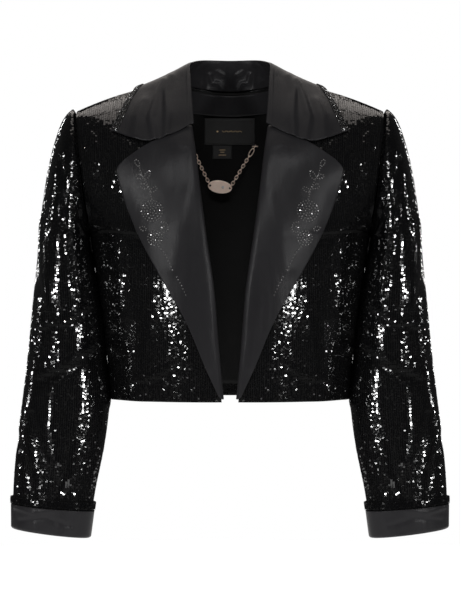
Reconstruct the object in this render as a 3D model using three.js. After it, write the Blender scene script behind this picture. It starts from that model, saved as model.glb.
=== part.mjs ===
// A cropped evening jacket in the matador cut, filled out as it is worn, with no wearer in it.
// Sequin cloth fronts, back and sleeves, satin shawl lapels and collar, satin cuffs, and a
// hanger chain inside the back neck.
//
// Millimetres, +Z up, +Y towards the back of the garment, -X on the wearer's right.
// The origin lies between the shoulders at the height of the side neck.

import * as THREE from 'three';

// ---------------------------------------------------------------- driving dimensions

const CLOTH = 1.6;            // wall of an outer panel, collar, lapel and cuff
const SEAM_GAP = 0.4;         // space between two pieces that are sewn together
const HEM_HEIGHT = -422;      // the hem, level all round

// Each panel has eight cross rows from the hem to the shoulder seam. Rows 0 to 3 end on the
// side seam and rows 3 to 7 end on the armhole, from under the arm to the shoulder point.
const LAST_ROW = 7;
const ARMPIT_ROW = 3;
const SIDE_HALF_WIDTHS = [159.5, 165, 175, 187];
const ARMPIT_HEIGHT = -195;

const ARMHOLE = { centre: [-197, 0, -114], up: [-10, 0, 81], half_depth: 63 };

// The shoulder seam as the four control points of a Bezier curve, from neck to shoulder point.
const SHOULDER_SEAM = [[-72, 0, 8], [-116, 0, 1], [-165, 0, -12], [-207, 0, -33]];

// Front panel: the free edge under the lapel, and how far the rows run straight on from it and
// from the side, which sets the fullness of the chest.
const FRONT_EDGE = [
  [-11, -104, HEM_HEIGHT], [-18, -112, -350], [-24, -116, -275], [-34, -114, -205],
  [-42, -106, -145], [-49, -90, -88], [-57, -55, -42], [-72, 0, 8],
];
const FRONT_EDGE_REACH = [
  [-62, -10, 0], [-62, -12, 0], [-62, -13, 0], [-60, -12, -1],
  [-52, -8, -4], [-50, -8, -6], [-48, -12, -6], [-44, 0, -7],
];
const FRONT_SIDE_REACH = [
  [0, -66, 0], [0, -72, 0], [2, -78, 0], [3, -72, 4],
  [24, -42, 6], [38, -28, 4], [45, -18, 10], [42, 0, 21],
];

// Back panel: the centre line, the same two reaches, and the neckline as a Bezier curve.
const BACK_CENTRE = [
  [0, 97, HEM_HEIGHT], [0, 97, -350], [0, 100, -272], [0, 103, -195],
  [0, 99.5, -138], [0, 91.5, -88], [0, 81, -42], [0, 69, 0],
];
const BACK_CENTRE_REACH = [
  [-60, 0, 0], [-60, 0, 0], [-62, 0, 0], [-62, 0, 0],
  [-58, 0, 0], [-55, 0, 0], [-50, 0, 0], [-45, -2, 0],
];
const BACK_SIDE_REACH = [
  [0, 62, 0], [0, 66, 0], [2, 72, 0], [3, 70, 0],
  [22, 42, 5], [36, 26, 4], [45, 22, 10], [50, 22, 12],
];
const BACK_NECKLINE = [[0, 69, 0], [-40, 70, 1], [-72, 42, 7], [-72, 0, 8]];
const NECK_SHARE = 0.36;      // part of the back's half width that ends on the neckline
const YOKE_SHARPNESS = 6;     // how near the top the back starts to rise to the shoulder seam

// Sleeve rings from the armhole to the wrist: centre, half axis on the outer side, half depth.
const SLEEVE_RINGS = [
  { centre: [-199.6, 0, -114], out: [-8.8, 0, 79.6], half_depth: 61.8 },
  { centre: [-204.8, 0, -116], out: [-10.2, 0, 86.5], half_depth: 67 },
  { centre: [-212, 0, -130], out: [-18, 0, 80], half_depth: 69 },
  { centre: [-219.5, 0, -158], out: [-26, 0, 56], half_depth: 68 },
  { centre: [-223.5, 0, -197], out: [-32, 0, 32], half_depth: 65 },
  { centre: [-224, 0, -242], out: [-38, 0, 13], half_depth: 61 },
  { centre: [-222, 1, -300], out: [-46.8, 0, 4], half_depth: 55 },
  { centre: [-222, -2, -360], out: [-52.5, 0, 1], half_depth: 49 },
  { centre: [-222.2, -8, -420], out: [-59, 0, 0], half_depth: 43 },
  { centre: [-228.6, -14, -480], out: [-59.6, 0, 1], half_depth: 38 },
  { centre: [-237.5, -18, -545], out: [-55.3, 0, 3.4], half_depth: 34 },
  { centre: [-241.4, -20, -598.6], out: [-51.4, 0, 6.5], half_depth: 31 },
];

// Cuffs and the sequin bands over them. Places run along the sleeve, 1 at the wrist.
const TRIM_TOP = 0.927;
const TRIM_BOTTOM = 0.9425;
const TRIM_FACES = [0.6, 3];  // the band's two faces, measured out from the sleeve
const CUFF_TOP = 0.9455;
const CUFF_TURN = 2.8;          // radius of the cuff's turn round the sleeve's edge
const CUFF_TURN_UP = 0.977;     // where the cuff's inner edge ends, inside the sleeve

// Lapel rows from the hem to the gorge: the place of each on the front's free edge, and the
// lapel's outer edge seen from the front, as x and z.
const LAPEL_PLACES = [0.06, 0.7, 1.45, 2.2, 2.9, 3.86, 4.7, 5.62];
const LAPEL_OUTER = [
  [-15.5, -414], [-33, -374], [-57, -316], [-87, -262],
  [-115, -210], [-136, -160], [-147.5, -119], [-138, -103.5],
];
const NOTCH_BEND = 8;           // how far the top edge's notch lies out from its middle
const LAPEL_STAND_OFF = 3.4;    // from the front's inner face to the middle of the lapel
const LAPEL_LIFT = 1.6;         // how much more it stands off beside the roll
const LAPEL_LIFT_REACH = 16;    // how far from the roll that lift dies away
const LAPEL_TURN_UNDER = 7;     // width of the facing behind the front's edge

// Collar rows round the neck, from the front end to the centre back. Each has the neck seam,
// the stand, the fold, the middle of the fall and the fall's outer edge.
const COLLAR_ROWS = [
  [[-60, -74, -53.5], [-56, -77.5, -55], [-51.5, -80, -55.5], [-105, -92, -78], [-158, -73, -63]],
  [[-62, -53.5, -34.5], [-57, -58, -33], [-53, -62, -29], [-97, -68, -40], [-148, -58, -39.5]],
  [[-68, -27, -9], [-61, -31, -3.5], [-55, -32, 6], [-95, -30, -3.5], [-137.6, -31, -17]],
  [[-70.5, 1, 11.5], [-64, -2, 20], [-56, -3, 30.5], [-88.5, -1, 16.5], [-123, 0, 1.8]],
  [[-66, 28.5, 9.5], [-61.5, 26, 22], [-51.5, 22, 37.5], [-78, 32, 18], [-98, 31.5, -7.5]],
  [[-42.5, 57.5, 5.5], [-40, 54.5, 22.5], [-37, 50.5, 43], [-53, 64, 17], [-56, 63, -13]],
  [[0, 69.8, 2.3], [0, 66.5, 22], [0, 60.5, 43.5], [0, 76, 17], [0, 79.5, -16]],
];

// Pieces that lie inside the back, with their two faces measured in from it.
const LINING_FACES = [-1.5, -0.5];
const FACING_FACES = [-4.8, -3.8];
const LABEL_FACES = [-3.6, -2.6];
const LINING_PLACES = [0.235, 6.5];
const LINING_HALF_SHARE = 10 / 11;
const FACING_PLACES = [6.25, 6.5, 6.75, 6.93];
const FACING_HALF_SHARE = 0.3;
const LABEL = { x: [-36.5, 35.5], z: [-70, -33.5] };
const SIZE_TAB = { x: [-25, 3], z: [-89.5, -71] };

// Hanger chain, hung from two staples and carrying an oval plate.
const HINGE_DEPTH = 75.5;
const HINGE_HEIGHT = -73.4;
const STAPLE_X = { right: -54, left: 35 };
const STAPLE_HALF = 3.6;
const STAPLE_WIRE = 0.7;
const STAPLE_CLEARANCE = 1.8;  // between the legs' ends and the lining, which slopes there
const LINK = { half_length: 3.2, half_width: 1.95, wire: 0.55 };
const CLASP = { half_length: 6.8, half_width: 2.4, wire: 0.7 };
const METAL_GAP = 0.3;
const LINKS_RIGHT = 13;
const LINKS_LEFT = 11;
const PLATE_MIDDLE = [-14, HINGE_DEPTH, -130];
const PLATE_TILT = THREE.MathUtils.degToRad(8);  // down on the wearer's left
const PLATE_HALF_LENGTH = 17;
const PLATE_HALF_WIDTH = 9;
const PLATE_THICKNESS = 1.4;
const PLATE_HOLE_X = 14;
const PLATE_HOLE_RADIUS = 1.5;
const PLATE_HOOK = 0.6;         // how far an end link sits off the middle of the plate's hole
const JEWEL = { along: 4.2, radius: 2, height: 1.6 };

// ---------------------------------------------------------------- materials

function cloth(colour, roughness) {
  return new THREE.MeshStandardMaterial({ color: colour, roughness, metalness: 0 });
}

const SEQUIN_CLOTH = new THREE.MeshStandardMaterial({ color: 0x0d0d0f, roughness: 0.3, metalness: 0.4 });
const SATIN = cloth(0x2d2d30, 0.35);
const LINING_CLOTH = cloth(0x0c0c0c, 0.6);
const LABEL_CLOTH = cloth(0x101010, 0.55);
const ROSE_GOLD = new THREE.MeshStandardMaterial({ color: 0xbea091, roughness: 0.25, metalness: 1 });
const GEM = new THREE.MeshStandardMaterial({ color: 0xe8e6ea, roughness: 0.05, metalness: 0 });

// ---------------------------------------------------------------- curves and surfaces

function vector(point) {
  return new THREE.Vector3(...point);
}

// A smooth curve through the points, with the given place counted in points from the first.
function through(points, place) {
  const first = THREE.MathUtils.clamp(Math.floor(place), 0, points.length - 2);
  const t = place - first;
  const p1 = vector(points[first]);
  const p2 = vector(points[first + 1]);
  const p0 = first > 0 ? vector(points[first - 1]) : p1.clone().multiplyScalar(2).sub(p2);
  const last = first + 2 < points.length;
  const p3 = last ? vector(points[first + 2]) : p2.clone().multiplyScalar(2).sub(p1);
  const leave = p2.clone().sub(p0).multiplyScalar(0.5);
  const arrive = p3.clone().sub(p1).multiplyScalar(0.5);
  const t2 = t * t;
  const t3 = t2 * t;
  return p1.multiplyScalar(2 * t3 - 3 * t2 + 1)
    .addScaledVector(leave, t3 - 2 * t2 + t)
    .addScaledVector(p2, 3 * t2 - 2 * t3)
    .addScaledVector(arrive, t3 - t2);
}

function bezier(p0, p1, p2, p3, t) {
  return new THREE.CubicBezierCurve3(p0, p1, p2, p3).getPoint(t);
}

function ellipsePoint(ring, angle) {
  return vector(ring.centre)
    .addScaledVector(vector(ring.up ?? ring.out), Math.cos(angle))
    .add(new THREE.Vector3(0, -ring.half_depth * Math.sin(angle), 0));
}

// The outer end of a row: on the side seam below the armpit and on the armhole above it.
// Facing is -1 for a front and 1 for a back.
function sideOrArmhole(place, facing) {
  let point;
  if (place <= ARMPIT_ROW) {
    const widths = SIDE_HALF_WIDTHS.map((width, row) => {
      return [-width, 0, HEM_HEIGHT + (ARMPIT_HEIGHT - HEM_HEIGHT) * row / ARMPIT_ROW];
    });
    point = through(widths, place);
  } else {
    const angle = Math.PI * (LAST_ROW - place) / (LAST_ROW - ARMPIT_ROW);
    point = ellipsePoint(ARMHOLE, -facing * angle);
  }
  return point.add(new THREE.Vector3(0, facing * SEAM_GAP / 2, 0));
}

function panelRow(share, place, inner, innerReach, outerReach, facing) {
  const start = through(inner, place);
  const end = sideOrArmhole(place, facing);
  const startHandle = start.clone().add(through(innerReach, place));
  const endHandle = end.clone().add(through(outerReach, place));
  return bezier(start, startHandle, endHandle, end, share);
}

// Inner face of the wearer's right front. Share is 0 at the free edge and 1 at the side.
function frontPoint(share, place) {
  const point = panelRow(share, place, FRONT_EDGE, FRONT_EDGE_REACH, FRONT_SIDE_REACH, -1);
  const top = Math.max(0, place - LAST_ROW + 1);
  point.y -= (SEAM_GAP / 2) * top * (1 - share);
  return point;
}

// Top edge of the back from the centre, along the neckline, then along the shoulder seam.
function backTop(share) {
  if (share < NECK_SHARE) {
    return bezier(...BACK_NECKLINE.map(vector), share / NECK_SHARE);
  }
  return bezier(...SHOULDER_SEAM.map(vector), (share - NECK_SHARE) / (1 - NECK_SHARE));
}

// Inner face of the back. Share runs from -1 at one side to 1 at the other.
function backPoint(share, place) {
  const half = Math.abs(share);
  const row = (at) => panelRow(half, at, BACK_CENTRE, BACK_CENTRE_REACH, BACK_SIDE_REACH, 1);
  const rise = Math.pow(place / LAST_ROW, YOKE_SHARPNESS);
  const top = backTop(half).add(new THREE.Vector3(0, SEAM_GAP / 2, 0));
  const point = row(place).addScaledVector(top.sub(row(LAST_ROW)), rise);
  if (share > 0) {
    point.x = -point.x;
  }
  return point;
}

// Outer face of the wearer's right sleeve. Turn is 0 to 1 round it, along 0 to 1 down it.
function sleevePoint(turn, along) {
  const place = along * (SLEEVE_RINGS.length - 1);
  const ring = {
    centre: through(SLEEVE_RINGS.map((key) => key.centre), place).toArray(),
    out: through(SLEEVE_RINGS.map((key) => key.out), place).toArray(),
    half_depth: through(SLEEVE_RINGS.map((key) => [key.half_depth, 0, 0]), place).x,
  };
  return ellipsePoint(ring, 2 * Math.PI * turn);
}

// The outward normal of a surface of two numbers. Side is 1 or -1, by how it is laid out.
function normalOf(surface, a, b, side, step = 1e-3) {
  const alongA = surface(a + step, b).sub(surface(a - step, b));
  const alongB = surface(a, b + step).sub(surface(a, b - step));
  return alongA.cross(alongB).normalize().multiplyScalar(side);
}

// The place on a panel whose x and z are given, as its point and outward normal.
function locate(surface, side, x, z, startShare, startPlace) {
  let share = startShare;
  let place = startPlace;
  const step = 1e-3;
  for (let round = 0; round < 12; round += 1) {
    const here = surface(share, place);
    const a = surface(share + step, place).sub(here).divideScalar(step);
    const b = surface(share, place + step).sub(here).divideScalar(step);
    const det = a.x * b.z - b.x * a.z;
    const dx = x - here.x;
    const dz = z - here.z;
    share += (dx * b.z - b.x * dz) / det;
    place += (a.x * dz - dx * a.z) / det;
  }
  return { point: surface(share, place), normal: normalOf(surface, share, place, side) };
}

const frontAt = (x, z) => locate(frontPoint, -1, x, z, 0.4, 4);
const backAt = (x, z) => locate(backPoint, -1, x, z, x / 180, 5);

// ---------------------------------------------------------------- closed bodies

function closedMesh(vertices, faces) {
  let volume = 0;
  for (const [a, b, c] of faces) {
    volume += vertices[a].dot(vertices[b].clone().cross(vertices[c]));
  }
  const ordered = volume > 0 ? faces : faces.map(([a, b, c]) => [a, c, b]);
  const geometry = new THREE.BufferGeometry();
  const numbers = vertices.flatMap((vertex) => vertex.toArray());
  geometry.setAttribute('position', new THREE.Float32BufferAttribute(numbers, 3));
  geometry.setIndex(ordered.flat());
  geometry.computeVertexNormals();
  return geometry;
}

// A cloth wall from a grid of points: grid[row][column], moved along its normals by the two
// distances. A wrapped grid closes on itself along its rows.
function wall(grid, low, high, side, wrapped = false) {
  const rows = grid.length;
  const columns = grid[0].length;
  const at = (row, column) => {
    const c = wrapped ? (column + columns) % columns : THREE.MathUtils.clamp(column, 0, columns - 1);
    return grid[THREE.MathUtils.clamp(row, 0, rows - 1)][c];
  };
  const vertices = [];
  for (const distance of [low, high]) {
    for (let row = 0; row < rows; row += 1) {
      for (let column = 0; column < columns; column += 1) {
        const across = at(row, column + 1).clone().sub(at(row, column - 1));
        const along = at(row + 1, column).clone().sub(at(row - 1, column));
        const normal = across.cross(along).normalize().multiplyScalar(side);
        vertices.push(at(row, column).clone().addScaledVector(normal, distance));
      }
    }
  }
  const layer = rows * columns;
  const index = (row, column, top) => row * columns + (column % columns) + (top ? layer : 0);
  const faces = [];
  const quad = (a, b, c, d) => faces.push([a, b, c], [a, c, d]);
  const spans = wrapped ? columns : columns - 1;
  for (let row = 0; row < rows - 1; row += 1) {
    for (let column = 0; column < spans; column += 1) {
      const corners = (top) => [
        index(row, column, top), index(row, column + 1, top),
        index(row + 1, column + 1, top), index(row + 1, column, top),
      ];
      quad(...corners(true));
      const [a, b, c, d] = corners(false);
      faces.push([a, c, b], [a, d, c]);
    }
  }
  for (let column = 0; column < spans; column += 1) {
    const next = column + 1;
    const last = rows - 1;
    quad(index(0, column, false), index(0, next, false), index(0, next, true), index(0, column, true));
    quad(index(last, next, false), index(last, column, false), index(last, column, true),
      index(last, next, true));
  }
  for (let row = 0; row < rows - 1 && !wrapped; row += 1) {
    const next = row + 1;
    const last = columns - 1;
    quad(index(next, 0, false), index(row, 0, false), index(row, 0, true), index(next, 0, true));
    quad(index(row, last, false), index(next, last, false), index(next, last, true),
      index(row, last, true));
  }
  return closedMesh(vertices, faces);
}

// Points of a surface at evenly spaced places: columns over the first number, rows the second.
function sample(surface, columns, rows, wrapped = false) {
  const grid = [];
  for (let row = 0; row <= rows; row += 1) {
    const line = [];
    for (let column = 0; column < columns + (wrapped ? 0 : 1); column += 1) {
      line.push(surface(column / columns, row / rows));
    }
    grid.push(line);
  }
  return grid;
}

function mirrored(geometry) {
  const copy = geometry.clone();
  copy.scale(-1, 1, 1);
  const index = copy.getIndex();
  for (let i = 0; i < index.count; i += 3) {
    const second = index.getX(i + 1);
    index.setX(i + 1, index.getX(i + 2));
    index.setX(i + 2, second);
  }
  copy.computeVertexNormals();
  return copy;
}

// A closed loop of wire, long along X and wide along Y, with its middle at the origin.
function wireLoop({ half_length, half_width, wire }) {
  const around = 12;
  const sides = 5;
  const vertices = [];
  const faces = [];
  const index = (i, j) => (i % around) * sides + (j % sides);
  for (let i = 0; i < around; i += 1) {
    const turn = 2 * Math.PI * i / around;
    const middle = new THREE.Vector3(half_length * Math.cos(turn), half_width * Math.sin(turn), 0);
    const out = new THREE.Vector3(half_width * Math.cos(turn), half_length * Math.sin(turn), 0);
    out.normalize();
    for (let j = 0; j < sides; j += 1) {
      const spin = 2 * Math.PI * j / sides;
      const point = middle.clone().addScaledVector(out, wire * Math.cos(spin));
      point.z = wire * Math.sin(spin);
      vertices.push(point);
      faces.push([index(i, j), index(i + 1, j), index(i + 1, j + 1)]);
      faces.push([index(i, j), index(i + 1, j + 1), index(i, j + 1)]);
    }
  }
  return closedMesh(vertices, faces);
}

// ---------------------------------------------------------------- the pieces

const group = new THREE.Group();
group.name = 'matador_jacket';

function add(name, geometry, material) {
  const mesh = new THREE.Mesh(geometry, material);
  mesh.name = name;
  group.add(mesh);
  return mesh;
}

function addPair(name, geometry, material) {
  add(`${name}_right`, geometry, material);
  add(`${name}_left`, mirrored(geometry), material);
}

// Fronts, from the free edge to the side seam and armhole, and from hem to shoulder.
const frontGrid = sample((a, b) => frontPoint(a, b * LAST_ROW), 10, 14);
addPair('front', wall(frontGrid, 0, CLOTH, -1), SEQUIN_CLOTH);

// Back in one piece, with the neckline cut out of its top edge.
const backGrid = sample((a, b) => backPoint(2 * a - 1, b * LAST_ROW), 22, 14);
add('back', wall(backGrid, 0, CLOTH, -1), SEQUIN_CLOTH);

// Sleeves, with a roped head just outside the armhole.
const sleeveGrid = sample(sleevePoint, 18, 19, true);
addPair('sleeve', wall(sleeveGrid, -CLOTH, 0, -1, true), SEQUIN_CLOTH);

// A ring of the sleeve at the given place, moved out from its outer face.
function sleeveRing(along, distance, beyond = 0) {
  return sample((turn) => {
    const point = sleevePoint(turn, along);
    const down = sleevePoint(turn, along).sub(sleevePoint(turn, along - 0.01)).normalize();
    return point.addScaledVector(normalOf(sleevePoint, turn, along, -1), distance)
      .addScaledVector(down, beyond);
  }, 18, 0, true)[0];
}

// Sequin band over the top of each cuff.
const trimGrid = [sleeveRing(TRIM_TOP, 0), sleeveRing(TRIM_BOTTOM, 0)];
addPair('cuff_trim', wall(trimGrid, ...TRIM_FACES, -1, true), SEQUIN_CLOTH);

// Cuffs, turned round the sleeve's edge and up inside it.
const cuffMiddle = -CLOTH / 2;
const cuffGrid = [sleeveRing(CUFF_TOP, cuffMiddle + CUFF_TURN), sleeveRing(0.973, cuffMiddle + CUFF_TURN)];
for (let step = 0; step <= 4; step += 1) {
  const turn = Math.PI * step / 4;
  const out = cuffMiddle + CUFF_TURN * Math.cos(turn);
  cuffGrid.push(sleeveRing(1, out, CUFF_TURN * Math.sin(turn)));
}
cuffGrid.push(sleeveRing(CUFF_TURN_UP, cuffMiddle - CUFF_TURN));
addPair('cuff', wall(cuffGrid, -CLOTH / 2, CLOTH / 2, -1, true), SATIN);

// Lapels, from behind the front's edge, round the roll and out over the front.
function lapelRow(key) {
  const place = through(LAPEL_PLACES.map((value) => [value, 0, 0]), key).x;
  const edge = frontPoint(0, place);
  const outward = normalOf(frontPoint, 0, place, -1);
  const inward = frontPoint(0.02, place).sub(edge).normalize();
  const turn = LAPEL_STAND_OFF - CLOTH / 2;
  const middle = edge.clone().addScaledVector(outward, CLOTH / 2);
  const row = [middle.clone().addScaledVector(inward, LAPEL_TURN_UNDER).addScaledVector(outward, -turn)];
  for (let step = 0; step <= 4; step += 1) {
    const angle = Math.PI * (step / 4 - 0.5);
    row.push(middle.clone().addScaledVector(inward, -turn * Math.cos(angle))
      .addScaledVector(outward, turn * Math.sin(angle)));
  }
  const outer = through(LAPEL_OUTER.map(([x, z]) => [x, 0, z]), key);
  const bend = Math.max(0, key - LAPEL_OUTER.length + 3) / 2;
  const centre = edge.clone().add(outer).multiplyScalar(0.5);
  centre.x -= NOTCH_BEND * bend;
  const columns = 7;
  for (let column = 1; column <= columns; column += 1) {
    const seen = through([edge, centre, outer].map((point) => point.toArray()), 2 * column / columns);
    const { point, normal } = frontAt(seen.x, seen.z);
    const lift = LAPEL_LIFT * Math.exp(-point.distanceTo(edge) / LAPEL_LIFT_REACH);
    row.push(point.addScaledVector(normal, LAPEL_STAND_OFF + lift));
  }
  return row;
}
const lapelGrid = [];
for (let row = 0; row <= 14; row += 1) {
  lapelGrid.push(lapelRow((LAPEL_PLACES.length - 1) * row / 14));
}
addPair('lapel', wall(lapelGrid, -CLOTH / 2, CLOTH / 2, -1), SATIN);

// Collar, from one front end round the back neck to the other.
const otherSide = COLLAR_ROWS.slice(0, -1).reverse();
const collarRows = COLLAR_ROWS.concat(otherSide.map((row) => row.map(([x, y, z]) => [-x, y, z])));
const collarGrid = sample((across, along) => {
  const row = [0, 1, 2, 3, 4].map((line) => {
    const keys = collarRows.map((points) => points[line]);
    return through(keys, along * (keys.length - 1)).toArray();
  });
  return through(row, across * 4);
}, 12, 24);
add('collar', wall(collarGrid, -CLOTH / 2, CLOTH / 2, 1), SATIN);

// Lining of the back, and the facing that covers its top.
function backStrip(halfShare, places, columns) {
  return places.map((place) => {
    return sample((a) => backPoint(halfShare * (2 * a - 1), place), columns, 0)[0];
  });
}
const liningPlaces = [LINING_PLACES[0]];
for (let place = 0.5; place < LINING_PLACES[1]; place += 0.5) {
  liningPlaces.push(place);
}
liningPlaces.push(LINING_PLACES[1]);
const liningGrid = backStrip(LINING_HALF_SHARE, liningPlaces, 20);
add('back_lining', wall(liningGrid, ...LINING_FACES, -1), LINING_CLOTH);
const facingGrid = backStrip(FACING_HALF_SHARE, FACING_PLACES, 12);
add('back_neck_facing', wall(facingGrid, ...FACING_FACES, -1), SATIN);

// Labels sewn on the lining.
function labelWall({ x, z }, columns) {
  const grid = sample((a, b) => {
    return backAt(x[0] + (x[1] - x[0]) * a, z[0] + (z[1] - z[0]) * b).point;
  }, columns, 2);
  return wall(grid, ...LABEL_FACES, -1);
}
add('label', labelWall(LABEL, 6), LABEL_CLOTH);
add('size_tab', labelWall(SIZE_TAB, 3), LABEL_CLOTH);

// Two staples sewn inside the back neck, each a bar along X with its legs in the lining.
function addStaple(side) {
  const x = STAPLE_X[side];
  const leg = backAt(x, HINGE_HEIGHT).point.y + LINING_FACES[0] - STAPLE_CLEARANCE - HINGE_DEPTH;
  const bend = 1.2;
  const points = [
    [-STAPLE_HALF, leg, 0], [-STAPLE_HALF, bend, 0], [bend - STAPLE_HALF, 0, 0],
    [STAPLE_HALF - bend, 0, 0], [STAPLE_HALF, bend, 0], [STAPLE_HALF, leg, 0],
  ];
  const path = new THREE.CatmullRomCurve3(points.map(vector), false, 'catmullrom', 0.3);
  const section = new THREE.Shape();
  section.absarc(0, 0, STAPLE_WIRE, 0, 2 * Math.PI);
  const settings = { steps: 14, curveSegments: 3, extrudePath: path };
  const staple = add(`chain_staple_${side}`, new THREE.ExtrudeGeometry(section, settings), ROSE_GOLD);
  staple.position.set(x, HINGE_DEPTH, HINGE_HEIGHT);
}
addStaple('right');
addStaple('left');

// Oval plate at the bottom of the chain, with a hole near each end and a gem set on it.
const plateShape = new THREE.Shape();
plateShape.absellipse(0, 0, PLATE_HALF_LENGTH, PLATE_HALF_WIDTH, 0, 2 * Math.PI);
for (const end of [-1, 1]) {
  const hole = new THREE.Path();
  hole.absarc(end * PLATE_HOLE_X, 0, PLATE_HOLE_RADIUS, 0, 2 * Math.PI, true);
  plateShape.holes.push(hole);
}
const plateSettings = { depth: PLATE_THICKNESS, curveSegments: 10, bevelEnabled: false };
const plateGeometry = new THREE.ExtrudeGeometry(plateShape, plateSettings);
plateGeometry.translate(0, 0, -PLATE_THICKNESS / 2);
const plateGroup = new THREE.Group();
plateGroup.position.set(...PLATE_MIDDLE);
plateGroup.rotation.set(Math.PI / 2, 0, -PLATE_TILT);
group.add(plateGroup);
const plate = add('chain_plate', plateGeometry, ROSE_GOLD);
plateGroup.add(plate);

const gemProfile = [
  new THREE.Vector2(0, 0), new THREE.Vector2(JEWEL.radius, 0),
  new THREE.Vector2(JEWEL.radius * 0.6, JEWEL.height), new THREE.Vector2(0, JEWEL.height),
];
const gem = add('chain_gem', new THREE.LatheGeometry(gemProfile, 8), GEM);
plateGroup.add(gem);
gem.position.set(JEWEL.along, 0, PLATE_THICKNESS / 2 + METAL_GAP);
gem.rotation.x = Math.PI / 2;

// Links of one side, from its staple down to the plate. Every second link lies flat in the
// plane of the chain and the ones between stand edge on, so the first and last stand edge on.
function addLink(name, wire, staple, direction, distance, flat) {
  const across = new THREE.Vector3(0, 1, 0);
  const side = direction.clone().cross(across);
  const axes = flat ? [direction, side, across.negate()] : [direction, across, side];
  const link = add(name, wireLoop(wire), ROSE_GOLD);
  link.quaternion.setFromRotationMatrix(new THREE.Matrix4().makeBasis(...axes));
  link.position.copy(staple).addScaledVector(direction, distance);
}

function addChainSide(side, end, links, withClasp) {
  const staple = new THREE.Vector3(STAPLE_X[side], HINGE_DEPTH, HINGE_HEIGHT);
  const hole = new THREE.Vector3(end * PLATE_HOLE_X, 0, 0)
    .applyAxisAngle(new THREE.Vector3(0, 1, 0), PLATE_TILT)
    .add(vector(PLATE_MIDDLE));
  const direction = hole.clone().sub(staple);
  const span = direction.length();
  direction.normalize();
  let first = LINK.half_length - (STAPLE_WIRE + LINK.wire + METAL_GAP);
  if (withClasp) {
    addLink(`chain_ring_${side}`, LINK, staple, direction, first, false);
    const hooked = LINK.half_length + CLASP.half_length - (LINK.wire + CLASP.wire + METAL_GAP);
    addLink('chain_clasp', CLASP, staple, direction, first + hooked, true);
    first += 2 * hooked;
  }
  const last = span - LINK.half_length - PLATE_HOOK;
  for (let i = 0; i < links; i += 1) {
    const distance = first + (last - first) * i / (links - 1);
    addLink(`chain_link_${side}_${i + 1}`, LINK, staple, direction, distance, i % 2 === 1);
  }
}
addChainSide('right', -1, LINKS_RIGHT, false);
addChainSide('left', 1, LINKS_LEFT, true);

export default group;
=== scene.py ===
# Cropped evening jacket in the matador cut: sequin cloth fronts, back and sleeves, satin lapels,
# collar and cuffs, and a hanger chain inside the back neck.
# Lengths of the garment are in millimetres until a piece is made, then metres, +Z up, +Y to the back.
import math

import bmesh
import bpy
import numpy as np
from mathutils import Matrix, Vector


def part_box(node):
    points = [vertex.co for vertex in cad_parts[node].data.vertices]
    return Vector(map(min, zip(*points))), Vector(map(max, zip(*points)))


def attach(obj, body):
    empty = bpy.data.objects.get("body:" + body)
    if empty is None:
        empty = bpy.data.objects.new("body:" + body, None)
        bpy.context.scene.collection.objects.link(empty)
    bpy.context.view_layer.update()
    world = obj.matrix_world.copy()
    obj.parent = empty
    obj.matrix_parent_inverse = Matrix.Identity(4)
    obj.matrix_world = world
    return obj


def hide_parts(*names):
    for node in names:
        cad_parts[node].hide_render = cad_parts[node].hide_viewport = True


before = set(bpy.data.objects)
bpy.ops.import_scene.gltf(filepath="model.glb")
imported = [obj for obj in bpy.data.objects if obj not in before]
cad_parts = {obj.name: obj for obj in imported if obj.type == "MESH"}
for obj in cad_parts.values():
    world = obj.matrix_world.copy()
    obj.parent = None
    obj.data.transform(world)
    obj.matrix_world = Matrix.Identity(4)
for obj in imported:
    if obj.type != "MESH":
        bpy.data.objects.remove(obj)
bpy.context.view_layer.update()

# ---------------------------------------------------------------- camera
# A level camera well back from the garment, looking along +Y at its middle.
# The frame takes in the whole jacket with a narrow margin on every side.
CAMERA_DISTANCE = 2.8
CAMERA_HEIGHT = -0.288
VIEW_HEIGHT = 0.816
SENSOR = 36.0



def placed(name, data):
    """A new object with the given data, in the scene."""
    made = bpy.data.objects.new(name, data)
    bpy.context.scene.collection.objects.link(made)
    return made


camera_data = bpy.data.cameras.new("camera")
camera_data.sensor_fit = "VERTICAL"
camera_data.sensor_height = SENSOR
camera_data.lens = SENSOR * CAMERA_DISTANCE / VIEW_HEIGHT
camera_data.clip_end = 50.0
camera = placed("camera", camera_data)
camera.location = (0.0007, -CAMERA_DISTANCE, CAMERA_HEIGHT)
camera.rotation_euler = (math.radians(90), 0, 0)
bpy.context.scene.camera = camera

# ---------------------------------------------------------------- studio
# A pale paper floor in a dim even room, tall soft strips at both sides that draw the bands of
# glints down the sequins, and a broad warm panel overhead that greys the shoulders.


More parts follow.
